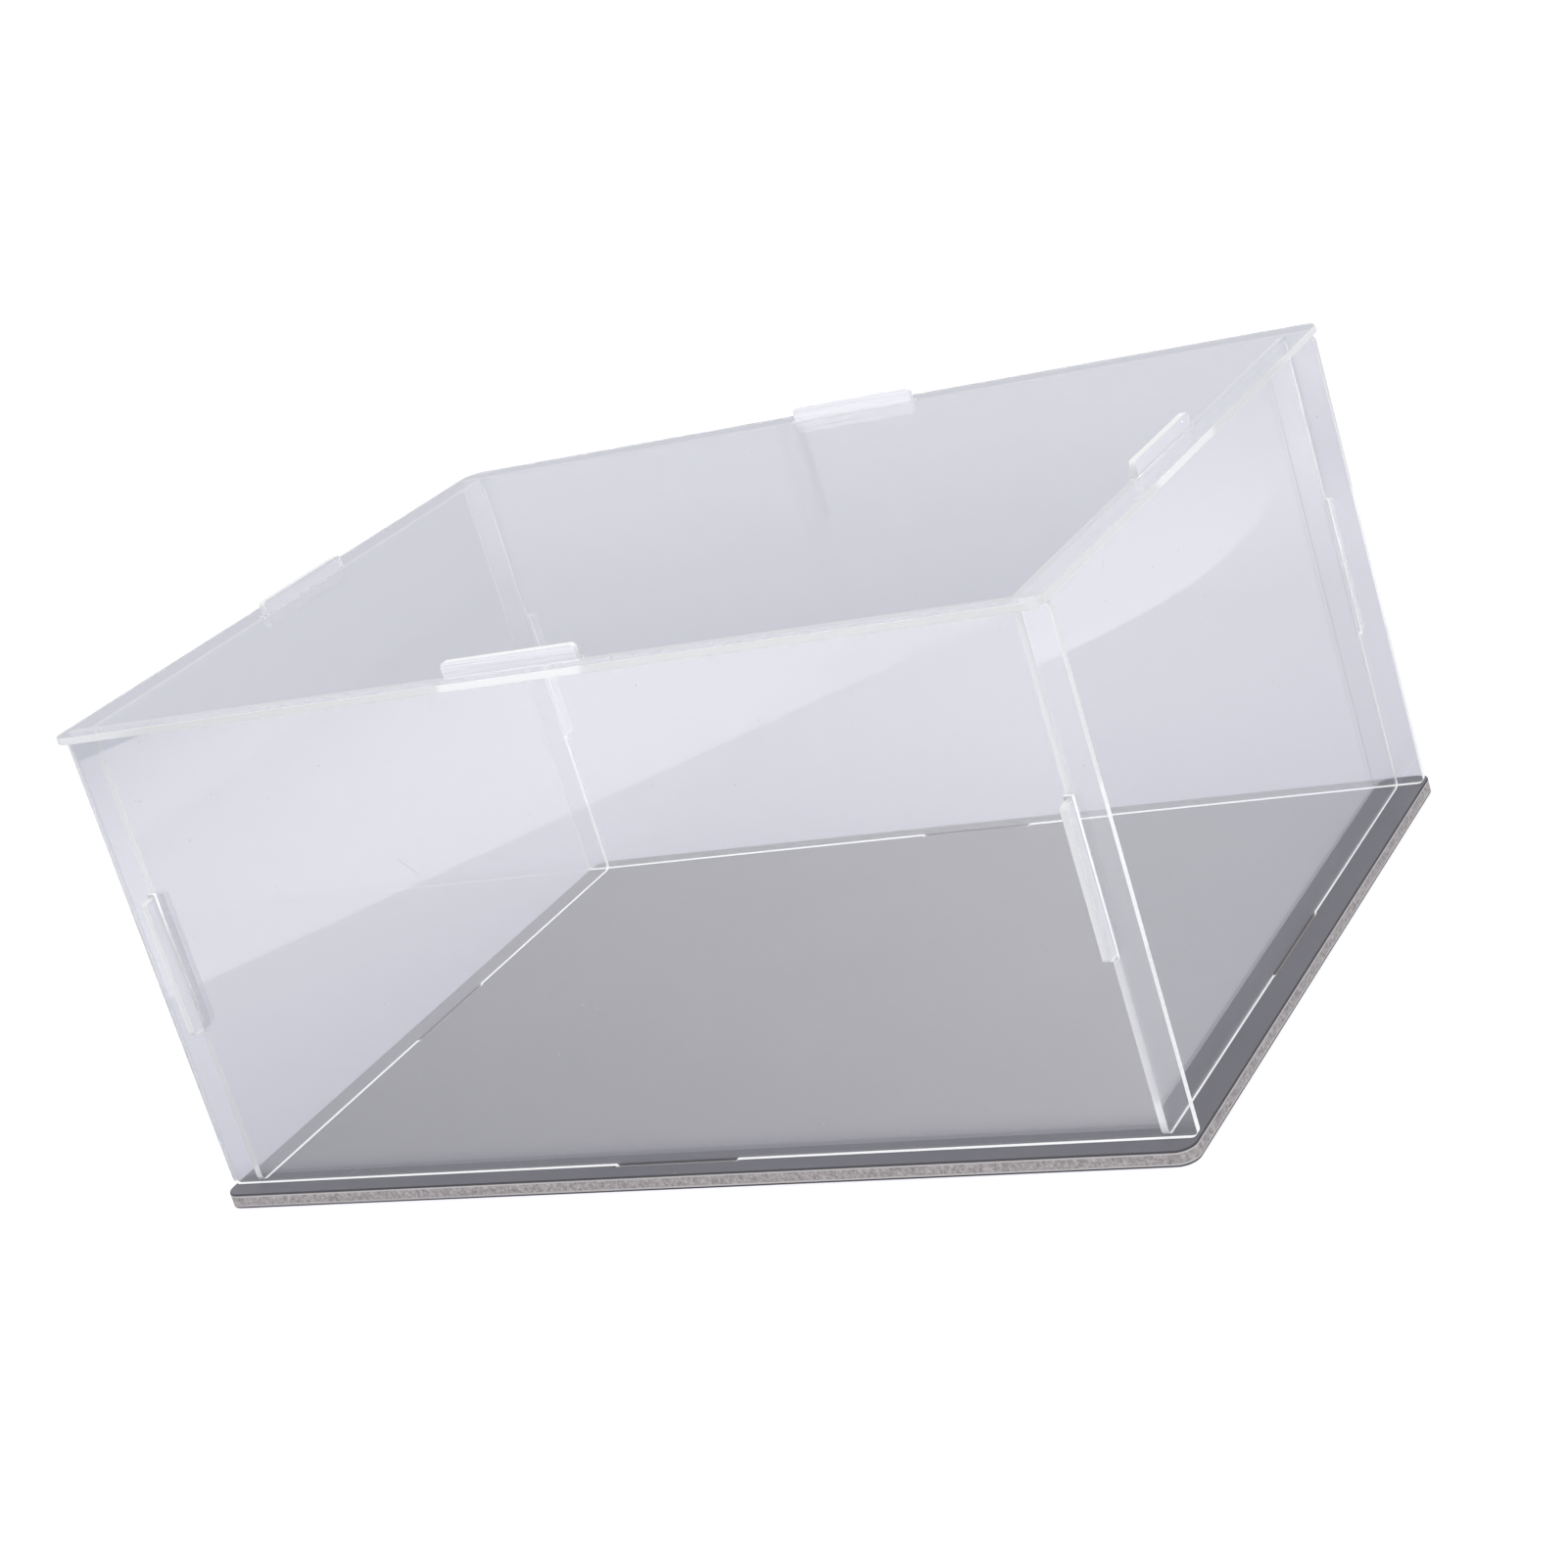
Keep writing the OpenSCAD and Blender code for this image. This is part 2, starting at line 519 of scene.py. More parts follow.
def fill_loops(plan, loops):
    """Triangles over loops of point numbers, run anticlockwise; slivers without area are left out."""
    flat = [[Vector((*at, 0)) for at in plan[loop]] for loop in loops]
    triangles = np.concatenate(loops)[np.array(tessellate_polygon(flat))]
    a, b, c = (plan[triangles[:, i]] for i in range(3))
    ab, ac = b - a, c - a
    area = (ab[:, 0] * ac[:, 1] - ab[:, 1] * ac[:, 0]) / 2
    upward = np.where(area[:, None] > 0, triangles, triangles[:, ::-1])
    return upward[np.abs(area) > SLIVER]


def sheet_mesh(name, loops, profile, place, skin_rows=0, tabs=(), is_dimmed=None):
    """Mesh of a flat sheet: its edge profile is carried along every loop, and its faces fill the loops.

    A rim point is loop point - loop normal * inset, at the profile's height. The skin_rows of
    the rim next to each face take the face's slot. The tabs are given by their first and last
    point on the outline. The rim takes the dimmer copy of the cut edge, painted shade, where
    the last argument, a function of u and v, is true.
    place turns arrays of u, v and height into x, y and z.
    """
    inset, height = profile
    rows = len(inset)
    points = np.concatenate([p for p, n in loops])
    normals = np.concatenate([n for p, n in loops])
    counts = [len(p) for p, n in loops]
    total = len(points)
    plan = points[None] - normals[None] * inset[:, None, None]
    level = np.broadcast_to(height[:, None], (rows, total))
    coordinates = place(plan[..., 0].ravel(), plan[..., 1].ravel(), level.ravel())
    numbers = np.split(np.arange(total), np.cumsum(counts)[:-1])
    following = np.concatenate([np.roll(loop, -1) for loop in numbers])
    here = np.arange(total)[None] + (np.arange(rows - 1) * total)[:, None]
    ahead = following[None] + (np.arange(rows - 1) * total)[:, None]
    rim = np.stack([here, ahead, ahead + total, here + total], axis=2).reshape(-1, 4)
    row = np.arange(rows - 1)
    is_skin = (row < skin_rows) | (row >= rows - 1 - skin_rows)
    rim_slot = np.repeat(np.where(is_skin, FACE, RIM), total)
    # Rims where the given function is true take the dimmer copy of the cut edge, painted shade
    if is_dimmed:
        clear = is_dimmed(*((points + points[following]) / 2).T)
        rim_slot = np.where(np.tile(clear, rows - 1), DIMMED_RIM, rim_slot)
    outline, *holes = numbers
    inner = np.concatenate([np.zeros(0, int)] + [outline[a + 1 : b] for a, b in tabs])
    parts = [fill_loops(plan[0], [np.setdiff1d(outline, inner)] + holes)]
    parts += [fill_loops(plan[0], [outline[a : b + 1]]) for a, b in tabs]
    upward = np.concatenate(parts)
    cap_slot = np.repeat([FACE] + [TAB_FACE] * len(tabs), [len(part) for part in parts])
    faces = upward[:, ::-1].tolist() + (upward + (rows - 1) * total).tolist() + rim.tolist()
    mesh = bpy.data.meshes.new(name)
    mesh.from_pydata(np.stack(coordinates, axis=1).tolist(), [], faces)
    slots = np.concatenate([cap_slot, cap_slot, rim_slot]).astype(np.int32)
    smooth = np.arange(len(faces)) >= len(cap_slot) * 2
    mesh.polygons.foreach_set("material_index", slots)
    mesh.polygons.foreach_set("use_smooth", smooth)
    mesh.update()
    return mesh


def show_piece(name, mesh, materials, node, body):
    """Makes the piece that stands for a node, riding on the node's body."""
    for material in materials:
        mesh.materials.append(material)
    piece = bpy.data.objects.new(name, mesh)
    bpy.context.scene.collection.objects.link(piece)
    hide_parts(node)
    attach(piece, body)
    return piece


class CaseSizes:
    """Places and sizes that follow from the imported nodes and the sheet's settings."""

    def __init__(self, sheet):
        self.base_lo, self.base_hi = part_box("base_plate")
        self.top_lo, self.top_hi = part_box("top_panel")
        self.front_lo, self.front_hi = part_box("front_panel")
        self.left_lo, self.left_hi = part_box("left_panel")
        self.sheet_t = self.front_hi.y - self.front_lo.y
        self.wall_v = (self.base_hi.z + sheet.seat_gap, self.top_lo.z - sheet.seat_gap)
        self.side_u = (self.front_hi.y + sheet.seat_gap, -self.front_hi.y - sheet.seat_gap)
        self.lock_tab = (sheet.lock_tab_w, self.front_hi.z - self.wall_v[1])
        self.foot_tab = (sheet.foot_tab_w, self.wall_v[0] - self.front_lo.z)
        self.slot_w = self.sheet_t + sheet.slot_side_gap * 2
        self.front_mid_y = (self.front_lo.y + self.front_hi.y) / 2
        self.side_mid_x = (self.left_lo.x + self.left_hi.x) / 2
        self.sheet = sheet

    def plate_loops(self, lo, hi, tab_w):
        """Outline of the base or the top, and its four slots for tabs of that width."""
        outline = rectangle_outline(
            (lo.x, hi.x), (lo.y, hi.y), self.sheet.plate_corner_r, self.sheet.arc_steps
        )
        along, across = tab_w + self.sheet.slot_end_gap * 2, self.slot_w
        slots = [(0, side * self.front_mid_y, along, across) for side in (1, -1)]
        slots += [(side * self.side_mid_x, 0, across, along) for side in (1, -1)]
        return [outline] + [slot_outline(*slot, self.sheet) for slot in slots]


# Settings


def length(name, description, default):
    """A length in metres."""
    return bpy.props.FloatProperty(
        name=name, description=description, default=default, subtype="DISTANCE", unit="LENGTH"
    )


def share(name, description, default):
    """A share from 0 to 1."""
    return bpy.props.FloatProperty(name=name, description=description, default=default, subtype="FACTOR")


def amount(name, description, default):
    """A plain number. Its description says what it counts."""
    return bpy.props.FloatProperty(name=name, description=description, default=default, precision=5)


def tone(name, description, default):
    """A colour as an sRGB hex code."""
    return bpy.props.StringProperty(name=name, description=description, default=default)


def point_count(name, description, default):
    """A number of points along an arc."""
    return bpy.props.IntProperty(name=name, description=description, default=default, min=3)


class CaseSheetSettings(bpy.types.PropertyGroup):
    """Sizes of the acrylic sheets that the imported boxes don't give."""

    lock_tab_w: length(
        "Lock tab width", "Width of the tabs through the top and through the long walls", 41 * MM
    )
    foot_tab_w: length("Foot tab width", "Width of the tabs that stand in the base", 37 * MM)
    slot_end_gap: length("Slot end gap", "Gap between a tab and each end of its slot", 1 * MM)
    slot_side_gap: length(
        "Slot side gap", "Gap between a tab and each long side of its slot", 0.15 * MM
    )
    seat_gap: length(
        "Seat gap", "Hairline gap where a cut edge stands on another sheet or on the base", 0.05 * MM
    )
    wall_corner_r: length("Wall corner radius", "Radius of the corners of the four walls", 2 * MM)
    plate_corner_r: length(
        "Plate corner radius", "Radius of the corners of the base and of the top", 5 * MM
    )
    tab_tip_r: length("Tab tip radius", "Radius of the corners at the tip of a tab", 1.5 * MM)
    tab_root_r: length("Tab root radius", "Radius of the fillets at the root of a tab", 0.8 * MM)
    slot_corner_r: length(
        "Slot corner radius", "Radius that the cutting beam leaves in the corners of a slot", 0.2 * MM
    )
    arris: length("Arris", "Rounding of the sharp edges of the acrylic", 0.12 * MM)
    arc_steps: point_count("Arc steps", "Points along each round corner", 9)
    slot_arc_steps: point_count("Slot arc steps", "Points along each corner of a slot", 4)
    arris_steps: point_count("Arris steps", "Points across each arris of the acrylic", 4)


class CaseAcrylicSettings(bpy.types.PropertyGroup):
    """Finish of the acrylic."""

    tint: tone("Tint", "sRGB hex of white seen through one sheet", "#FAFAFA")
    ior: amount("IOR", "Index of refraction of acrylic", 1.49)
    gloss: share("Gloss", "Strength of the mirror image in the faces, 0.5 for bare acrylic", 0.5)
    dust_spacing_mm: amount("Dust spacing", "Millimetres between specks of dust", 10.0)
    dust_speck_mm: amount(
        "Dust speck", "Millimetres across half a speck of dust, coarse enough to show", 0.35
    )
    dust_kept: share("Dust kept", "Share of the specks that is kept", 0.5)
    dust_share: share("Dust opacity", "How much a speck hides", 0.5)
    haze: share("Haze", "How much fine dust and scratches dull each face", 0.04)
    tab_rub: share("Tab rub", "How much the rubbing in its slot dulls each face of a tab", 0.32)
    # The tabs' glows are painted light: an emission in their haze that stands in for light piped in from
    # the cut edges
    tab_painted_glow: amount(
        "Tab glow", "Light that the cut edges around a tab send into its rubbed faces", 0.22
    )
    tab_wear: share("Tab wear", "How much wear dulls each face of the long walls' tabs", 0.52)
    front_tab_painted_glow: amount(
        "Worn tab glow, front",
        "Light that the cut edges around the front wall's tab send into its faces",
        0.17,
    )
    back_tab_painted_glow: amount(
        "Worn tab glow, back",
        "Light that the cut edges around the back wall's tab send into its faces",
        0.4,
    )
    tab_streak: share("Tab streaks", "How much the wear varies from streak to streak", 0.08)
    tab_streak_mm: amount("Tab streak width", "Millimetres from streak to streak", 0.6)
    scratch_spacing_mm: amount(
        "Scratch spacing", "Millimetres between the curves that hairline scratches follow", 70.0
    )
    scratch_width: amount(
        "Scratch width", "Width of a hairline scratch, as a step in the noise that draws it", 0.0012
    )
    scratch_share: share("Scratch opacity", "How much a hairline hides, beside a speck", 0.15)
    edge_colour: tone("Edge colour", "sRGB hex of the cut edge", "#FBFCF8")
    edge_frost: share("Edge frost, low", "Share of the cut edge that scatters light, at the base", 0.85)
    edge_frost_top: share(
        "Edge frost, high", "Share of the cut edge that scatters light, at the top", 0.73
    )
    # The edges' glow is painted light, an emission that stands in for light piped through the sheets,
    # stronger low down
    edge_painted_glow: amount(
        "Edge glow, low", "Light that the sheets pipe to their cut edges, at the base", 0.27
    )
    edge_painted_glow_top: amount(
        "Edge glow, high", "Light that the sheets pipe to their cut edges, at the top", 0.12
    )
    # The dimmer copy of the cut edge is painted shade: less frost and a weaker painted glow
    dimmed_frost: share("Clear edge frost", "Share of a clear cut edge that scatters light", 0.64)
    dimmed_painted_glow: amount("Clear edge glow", "Light that the sheets pipe to their clear cut edges", 0.16)
    edge_grain_mm: amount("Edge grain", "Depth of the cutting marks in millimetres", 0.03)


class CaseBoardSettings(bpy.types.PropertyGroup):
    """Size and finish of the board base."""

    arris: length("Arris", "Rounding of the edges of the board", 0.35 * MM)
    arris_steps: point_count("Arris steps", "Points across each arris of the board", 5)
    skin_dark: tone("Skin, dark", "sRGB hex of the skin", "#65646B")
    skin_light: tone("Skin, light", "sRGB hex of the paler clouds in the skin", "#6D6C72")
    skin_roughness: share("Skin roughness", "Roughness of the satin skin", 0.38)
    skin_grain_mm: amount(
        "Skin grain", "Grain of the skin in millimetres, drawn coarser than real to show", 0.5
    )
    skin_cloud_mm: amount("Skin clouds", "Width of the faint clouds in the skin in millimetres", 45.0)
    dust_spacing_mm: amount("Dust spacing", "Millimetres between specks of dust", 7.0)
    dust_speck_mm: amount(
        "Dust speck", "Millimetres across half a speck of dust, coarse enough to show", 0.3
    )
    dust_kept: share("Dust kept", "Share of the specks that is kept", 0.6)
    dust_share: share("Dust opacity", "How much a speck hides", 0.55)
    scratch_spacing_mm: amount(
        "Scratch spacing", "Millimetres between the curves that hairline scratches follow", 55.0
    )
    scratch_width: amount(
        "Scratch width", "Width of a hairline scratch, as a step in the noise that draws it", 0.0015
    )
    scratch_share: share("Scratch opacity", "How much a hairline hides, beside a speck", 0.4)
    core_dark: tone("Sawn edge, dark", "sRGB hex of the foam's cells", "#9A9491")
    core_light: tone("Sawn edge, light", "sRGB hex of the foam's walls", "#D4CEC9")
    # The paler line beside each face is a painted highlight; nearer each face the sawn edge is darker
    core_painted_highlight: tone("Sawn edge, line", "sRGB hex of the dense foam beside each skin", "#DAD5D1")
    core_highlight_mm: amount(
        "Dense foam", "How far below each face the dense foam reaches, in millimetres", 1.0
    )
    core_rim: tone(
        "Sawn edge, rim", "sRGB hex of the dark line that the saw leaves along each face", "#4D4C4E"
    )
    core_rim_mm: amount(
        "Rim line", "How far below each face the dark line reaches, in millimetres", 0.55
    )
    core_grain_mm: amount(
        "Foam grain", "Size of the foam's cells in millimetres, drawn coarser than real", 1.3
    )


class CaseStudioSettings(bpy.types.PropertyGroup):
    """Camera, floor and light."""

    camera_place: bpy.props.FloatVectorProperty(
        name="Camera place",
        description="Where the camera stands",
        default=(454.5 * MM, -725.2 * MM, 342.3 * MM),
        subtype="TRANSLATION",
        unit="LENGTH",
    )
    camera_turn: bpy.props.FloatVectorProperty(
        name="Camera turn",
        description="Turn of the camera about X, Y and Z",
        default=(math.radians(73.06), math.radians(16.05), math.radians(25.03)),
        subtype="EULER",
    )
    camera_lens: amount("Lens", "Focal length in millimetres", 72.0)
    camera_sensor: amount("Sensor", "Width of the sensor in millimetres", 36.0)
    camera_shift: bpy.props.FloatVectorProperty(
        name="Shift",
        description="Shift of the frame, from the picture's framing",
        default=(-0.053, -0.074),
        size=2,
    )
    floor_r: length("Floor radius", "Radius of the floor", 4.0)
    paper: tone("Paper", "sRGB hex of the floor's paper, as the sheets let it through", "#C1C2CB")
    backdrop: tone("Backdrop", "sRGB hex of the studio near the horizon", "#D7D8E0")
    floor_lift: amount(
        "Floor lift",
        "Light added to the floor for the camera, so that it is white but for the shadow",
        0.56,
    )
    # The levels below, down to the floor behind, are painted light and painted shade on the floor, which
    # only the sheets' mirror images show
    floor_front: amount(
        "Floor in front", "Extra brightness of the lit floor in front, as the sheets mirror it", 2.56
    )
    strip_shade: amount(
        "Shade at the right front",
        "How much less bright the floor is where the front sheet's end mirrors it",
        2.2,
    )
    painted_patch_front: amount(
        "Card in front",
        "Extra brightness of the white card at the front left, as the sheets mirror it",
        3.2,
    )
    beyond_painted_patch: amount(
        "Beyond the card", "How much less bright the floor is beyond the card's far edge", 1.4
    )
    floor_deep: amount(
        "Floor in front, from inside",
        "Extra brightness of the floor in front as the back sheet mirrors it, at the ramp's end",
        3.05,
    )
    front_most: amount("Most in front", "Upper limit of the extra brightness in front", 3.6)
    floor_right: amount(
        "Floor on the right",
        "Extra brightness of the floor on the right, as the sheets mirror it",
        0.72,
    )
    painted_patch_right: amount(
        "Card on the right",
        "Extra brightness of the white card on the right, as the sheets mirror it",
        0.96,
    )
    right_most: amount("Most on the right", "Upper limit of the extra brightness on the right", 1.5)
    floor_behind: amount(
        "Floor behind on the right",
        "Extra brightness of the floor that only the back sheet's end stands before",
        0.13,
    )
    softbox_power: amount("Softbox power", "Power of the main lamp in watts", 7.9)
    softbox_w: length("Softbox width", "Width and depth of the main lamp", 1.2)
    softbox_place: bpy.props.FloatVectorProperty(
        name="Softbox place",
        description="Where the main lamp hangs",
        default=(0.5, -0.6, 1.8),
        subtype="TRANSLATION",
        unit="LENGTH",
    )


# Operators

CLIP_RANGE = (0.01, 20.0)

# This far inwards, the rim of a wall still counts as its upper, lower or side end. The lower
# ends, the right ends of the long walls and the back ends of the side walls take the full
# frosted cut edge, and all their other cut edges take a dimmer copy of it, less frosted and
# with less painted glow: painted shade
END_ZONE = 1 * MM
SIDE_ZONE = 0.3 * MM


class CASE_OT_camera(bpy.types.Operator):
    """Stands the camera where the picture is taken from"""

    bl_idname = "display_case.camera"
    bl_label = "Camera"

    def execute(self, context):
        studio = context.scene.case_studio
        lens = bpy.data.cameras.new("picture_camera")
        lens.sensor_width = studio.camera_sensor
        lens.lens = studio.camera_lens
        lens.shift_x, lens.shift_y = studio.camera_shift
        lens.clip_start, lens.clip_end = CLIP_RANGE
        camera = bpy.data.objects.new("picture_camera", lens)
        camera.location = studio.camera_place
        camera.rotation_euler = studio.camera_turn
        context.scene.collection.objects.link(camera)
        context.scene.camera = camera
        return {"FINISHED"}


class CASE_OT_base(bpy.types.Operator):
    """Makes the board base, with its dark skins, its pale sawn edge and its four slots"""

    bl_idname = "display_case.base"
    bl_label = "Board base"

    def execute(self, context):
        sheet, board = context.scene.case_sheet, context.scene.case_board
        sizes = CaseSizes(sheet)
        lo, hi = sizes.base_lo, sizes.base_hi
        mesh = sheet_mesh(
            "base_board",
            sizes.plate_loops(lo, hi, sheet.foot_tab_w),
            edge_profile(hi.z - lo.z, board.arris, board.arris_steps),
            lambda u, v, w: (u, v, lo.z + w),
            skin_rows=1,
        )
        materials = [
            get_material("foamed_board_satin_skin", board_skin, board),
            get_material("foamed_board_sawn_edge", board_core, board),
        ]
        show_piece("base_board", mesh, materials, "base_plate", "base")
        return {"FINISHED"}


class CASE_OT_walls(bpy.types.Operator):
    """Makes the four tabbed acrylic walls"""

    bl_idname = "display_case.walls"
    bl_label = "Walls"

    def execute(self, context):
        sheet, acrylic = context.scene.case_sheet, context.scene.case_acrylic
        sizes = CaseSizes(sheet)
        profile = edge_profile(sizes.sheet_t, sheet.arris, sheet.arris_steps)
        # The tab materials carry a painted glow, and the last one here is the dimmer copy of the cut edge,
        # painted shade
        polished, cut, rubbed, worn, worn_back, clear = (
            get_material(name, make, acrylic)
            for name, make in (
                ("cast_acrylic_sheet_polished", cast_acrylic),
                ("laser_cut_acrylic_edge", cut_acrylic),
                ("cast_acrylic_tab_rubbed_painted_glow", rubbed_acrylic_painted_glow),
                ("cast_acrylic_tab_worn_painted_glow", worn_acrylic_painted_glow),
                ("cast_acrylic_tab_worn_back_brighter_painted_glow", worn_acrylic_back_brighter_painted_glow),
                ("laser_cut_acrylic_edge_dimmed", dimmed_cut_acrylic),
            )
        )
        foot, head = sizes.wall_v[0] + END_ZONE, sizes.wall_v[1] - END_ZONE
        left, right = sizes.front_lo.x + SIDE_ZONE, sizes.front_hi.x - SIDE_ZONE
        back = sizes.side_u[1]
        middle = sum(sizes.wall_v) / 2
        slot = (sizes.slot_w, sheet.lock_tab_w + sheet.slot_end_gap * 2)
        long_outline, long_tabs = wall_outline(
            (sizes.front_lo.x, sizes.front_hi.x),
            sizes.wall_v,
            [sizes.foot_tab, None, sizes.lock_tab, None],
            sheet,
        )
        long_slots = [
            slot_outline(side * sizes.side_mid_x, middle, *slot, sheet) for side in (1, -1)
        ]
        side_tab = (sheet.lock_tab_w, sizes.side_u[0] - sizes.left_lo.y)
        side_outline, side_tabs = wall_outline(
            sizes.side_u,
            sizes.wall_v,
            [sizes.foot_tab, side_tab, sizes.lock_tab, side_tab],
            sheet,
        )
        for node, tab in (("front_panel", worn), ("back_panel", worn_back)):
            _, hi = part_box(node)
            mesh = sheet_mesh(
                node + "_sheet",
                [long_outline] + long_slots,
                profile,
                lambda u, v, w, face=hi.y: (u, face - w, v),
                tabs=long_tabs,
                is_dimmed=lambda u, v: (v > head) | (u < left) | ((v > foot) & (u < right)),
            )
            materials = [polished, cut, tab, clear]
            show_piece(node + "_sheet", mesh, materials, node, "walls")
        for node in ("left_panel", "right_panel"):
            lo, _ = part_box(node)
            mesh = sheet_mesh(
                node + "_sheet",
                [side_outline],
                profile,
                lambda u, v, w, face=lo.x: (face + w, u, v),
                tabs=side_tabs,
                is_dimmed=lambda u, v: (v > head) | ((v > foot) & (np.abs(u - back) > SIDE_ZONE)),
            )
            materials = [polished, cut, rubbed, clear]
            show_piece(node + "_sheet", mesh, materials, node, "walls")
        return {"FINISHED"}


class CASE_OT_top(bpy.types.Operator):
    """Makes the slotted acrylic top"""

    bl_idname = "display_case.top"
    bl_label = "Top"

    def execute(self, context):
        sheet, acrylic = context.scene.case_sheet, context.scene.case_acrylic
        sizes = CaseSizes(sheet)
        lo, hi = sizes.top_lo, sizes.top_hi
        mesh = sheet_mesh(
            "top_sheet",
            sizes.plate_loops(lo, hi, sheet.lock_tab_w),
            edge_profile(hi.z - lo.z, sheet.arris, sheet.arris_steps),
            lambda u, v, w: (u, v, lo.z + w),
        )
        materials = [
            get_material("cast_acrylic_sheet_polished", cast_acrylic, acrylic),
            get_material("laser_cut_acrylic_edge", cut_acrylic, acrylic),
        ]
        show_piece("top_sheet", mesh, materials, "top_panel", "top")
        return {"FINISHED"}


# Painted light on the floor around the case, which only the sheets' mirror images show: a painted
# lit floor, painted bright patches and painted shade. Each field has a level at one place,
# from which it rises and bends, along x and y
Slope = namedtuple("Slope", "at rise bend", defaults=[(0.0, 0.0)])
FLOOR_FRONT = Slope(at=(0.0, -0.25), rise=(5.5, -5.4), bend=(7.0, -6.1))
PAINTED_PATCH_FRONT = Slope(at=(-0.3, -0.45), rise=(4.7, -3.9), bend=(-19.8, 0.0))
FLOOR_RIGHT = Slope(at=(0.25, 0.25), rise=(3.3, -0.9))
PAINTED_PATCH_RIGHT = Slope(at=(0.32, 0.42), rise=(3.1, -3.7))

# Straight lines on the floor, by how far a place lies past them
PATCH_WAY = Slope(at=(0.0, 0.0), rise=(-0.830, -0.558))
STRIP_LINE = Slope(at=(0.1955, 0.0), rise=(1.0, -0.5047))
BEHIND_LINE = Slope(at=(0.1825, 0.0), rise=(1.0, 0.385))

# The two edges of the painted bright patch in front, measured across the front, and the edge of
# the painted bright patch on the right, along x. That edge is straight over a stretch of y, bends
# before that stretch and slants beyond it
PATCH_NEAR_EDGE = 0.378
PATCH_FAR_EDGE = 0.750
PATCH_RIGHT_EDGE = 0.288
BOW_STRETCH = (0.378, 0.415)
BOW_BEND = -3.6
BOW_SLANT = -0.16

# Where the painted fields in front and on the right start, ahead of the case's middle and along x,
# and the painted ramp in front that the back sheet mirrors
FRONT_START = 0.12
FRONT_START_SOFT = 0.01
RIGHT_START = 0.15
RAMP = (0.14, 0.45)

# The painted paleness of the floor behind takes one share of its level up to this place along y, and one
# beyond it
PALE_SHARES = (1.2, 0.2)
PALE_CHANGE = 0.45
PALE_CHANGE_SOFT = 0.08

LINE_SOFT = 0.001
PAINTED_EDGE_SOFT = 0.002

# Counts of bounces and of crossed faces that part straight sight from mirrored sight, and
# sight of one sheet from sight through another
STRAIGHT_BOUNCES = 0.5
OUTER_FACES = 3.5
COUNT_SOFT = 0.25

# The studio turns from its backdrop's tone to white around this height on the unit sphere
OVERHEAD = 0.525
OVERHEAD_SOFT = 0.225

FLOOR_SIDES = 96


